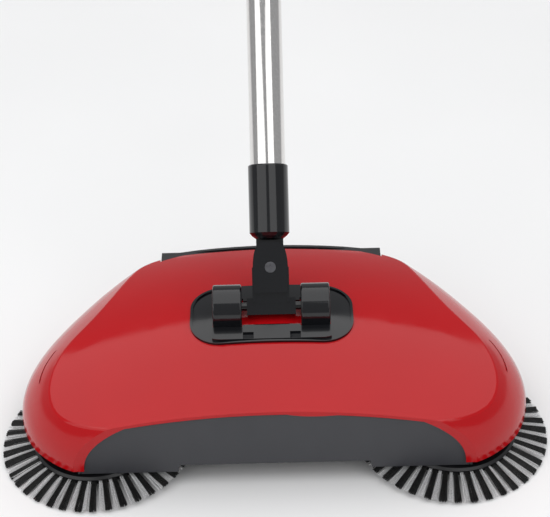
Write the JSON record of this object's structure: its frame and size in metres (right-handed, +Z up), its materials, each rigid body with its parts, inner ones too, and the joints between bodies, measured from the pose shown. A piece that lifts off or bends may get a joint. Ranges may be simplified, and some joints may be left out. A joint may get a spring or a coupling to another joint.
{
  "type": "carpet sweeper",
  "caption": "Manual push sweeper with a low crowned cover, front panel, tilted corner brushes, geared roller brush, rear dust drawer and a jointed tubular handle.",
  "frame": {"origin": "on the floor, straight below the axis of the handle's pitch hinge, on the plane of symmetry", "axes": "+Z up, X across the sweeper, the front with the grey panel faces -Y"},
  "size_m": [0.3912, 0.7011, 0.8476],
  "materials": {
    "red_cover": "gloss",
    "dark_grey_panel": "satin",
    "black_frame": "satin",
    "black_hinge": "gloss",
    "steel_small": "brushed",
    "white_bush": "satin",
    "smoke_box": "satin",
    "black_tail": "satin",
    "soft_lip": "matt",
    "wheel_black": "satin",
    "tyre_rubber": "matt",
    "gear_white": "satin",
    "roller_red": "satin",
    "roller_bristle": "matt",
    "brush_black": "satin",
    "brush_bristle": "matt",
    "steel_pole": "polished",
    "black_collar": "satin",
    "grip_rubber": "matt",
    "cap_black": "gloss"
  },
  "bodies": {
    "base": {"chassis_frame": "black_frame", "top_cover": "red_cover", "front_panel": "dark_grey_panel", "hinge_plate": "black_hinge", "hinge_drum_left": "black_hinge", "hinge_drum_right": "black_hinge", "pitch_pin": "steel_small", "cover_screws": "steel_small", "panel_screws": "steel_small", "shaft_bushes": "white_bush", "idler_pins": "steel_small", "side_brush_spindle_left": "steel_small", "side_brush_spindle_right": "steel_small", "rear_roller_pins": "steel_small"},
    "dust_drawer": {"dust_box": "smoke_box", "dust_box_tail": "black_tail", "intake_lip": "soft_lip"},
    "wheel_left": {"wheel_hub_left": "wheel_black", "wheel_tyre_left": "tyre_rubber", "wheel_axle_left": "steel_small"},
    "wheel_right": {"wheel_hub_right": "wheel_black", "wheel_tyre_right": "tyre_rubber", "wheel_axle_right": "steel_small"},
    "idler_left": {"idler_gear_left": "gear_white"},
    "idler_right": {"idler_gear_right": "gear_white"},
    "roller": {"roller_shaft": "steel_small", "roller_core": "roller_red", "roller_bristles": "roller_bristle", "roller_gears": "gear_white", "roller_pinions": "gear_white"},
    "brush_left": {"side_brush_plate_left": "brush_black", "side_brush_bristles_left": "brush_bristle", "side_brush_cap_left": "brush_black"},
    "brush_right": {"side_brush_plate_right": "brush_black", "side_brush_bristles_right": "brush_bristle", "side_brush_cap_right": "brush_black"},
    "caster_left": {"rear_roller_left": "wheel_black"},
    "caster_right": {"rear_roller_right": "wheel_black"},
    "swivel": {"pivot_link": "black_hinge", "pivot_bolt": "steel_small", "pivot_nut": "steel_small"},
    "handle": {"handle_socket": "black_hinge", "pole_lower": "steel_pole", "pole_coupler_lower": "black_collar", "pole_middle": "steel_pole", "pole_coupler_upper": "black_collar", "pole_upper": "steel_pole", "grip": "grip_rubber", "end_cap": "cap_black"}
  },
  "joints": [
    {"name": "drawer_slide", "type": "slide", "parent": "base", "child": "dust_drawer", "axis": [0, 1, 0], "range_m": [0, 0.115]},
    {"name": "roller_spin", "type": "hinge", "parent": "base", "child": "roller", "pos_m": [0, -0.04, 0.027], "axis": [1, 0, 0], "continuous": true},
    {"name": "wheel_spin_left", "type": "hinge", "parent": "base", "child": "wheel_left", "pos_m": [-0.07, 0.03475, 0.027], "axis": [1, 0, 0], "continuous": true},
    {"name": "idler_spin_left", "type": "hinge", "parent": "base", "child": "idler_left", "pos_m": [-0.0585, -0.00889, 0.038], "axis": [1, 0, 0], "continuous": true},
    {"name": "brush_spin_left", "type": "hinge", "parent": "base", "child": "brush_left", "pos_m": [-0.126, -0.04, 0.0135], "axis": [-0.0523, -0.0523, 0.9973], "continuous": true},
    {"name": "caster_spin_left", "type": "hinge", "parent": "base", "child": "caster_left", "pos_m": [-0.091, 0.086, 0.008], "axis": [1, 0, 0], "continuous": true},
    {"name": "wheel_spin_right", "type": "hinge", "parent": "base", "child": "wheel_right", "pos_m": [0.07, 0.03475, 0.027], "axis": [1, 0, 0], "continuous": true},
    {"name": "idler_spin_right", "type": "hinge", "parent": "base", "child": "idler_right", "pos_m": [0.0585, -0.00889, 0.038], "axis": [1, 0, 0], "continuous": true},
    {"name": "brush_spin_right", "type": "hinge", "parent": "base", "child": "brush_right", "pos_m": [0.126, -0.04, 0.0135], "axis": [0.0523, -0.0523, 0.9973], "continuous": true},
    {"name": "caster_spin_right", "type": "hinge", "parent": "base", "child": "caster_right", "pos_m": [0.091, 0.086, 0.008], "axis": [1, 0, 0], "continuous": true},
    {"name": "handle_pitch", "type": "hinge", "parent": "base", "child": "swivel", "pos_m": [0, 0, 0.0923], "axis": [-1, 0, 0], "range_deg": [-38, 27]},
    {"name": "handle_roll", "type": "hinge", "parent": "swivel", "child": "handle", "pos_m": [0, 0.01687, 0.11389], "axis": [0, -0.788, 0.6157], "range_deg": [-40, 40]}
  ],
  "couplings": [
    {"joint": "wheel_spin_left", "follows": "roller_spin", "ratio": 0.46667},
    {"joint": "wheel_spin_right", "follows": "roller_spin", "ratio": 0.46667},
    {"joint": "idler_spin_left", "follows": "roller_spin", "ratio": -0.46667},
    {"joint": "idler_spin_right", "follows": "roller_spin", "ratio": -0.46667},
    {"joint": "brush_spin_left", "follows": "roller_spin", "ratio": 0.35294},
    {"joint": "brush_spin_right", "follows": "roller_spin", "ratio": -0.35294}
  ]
}
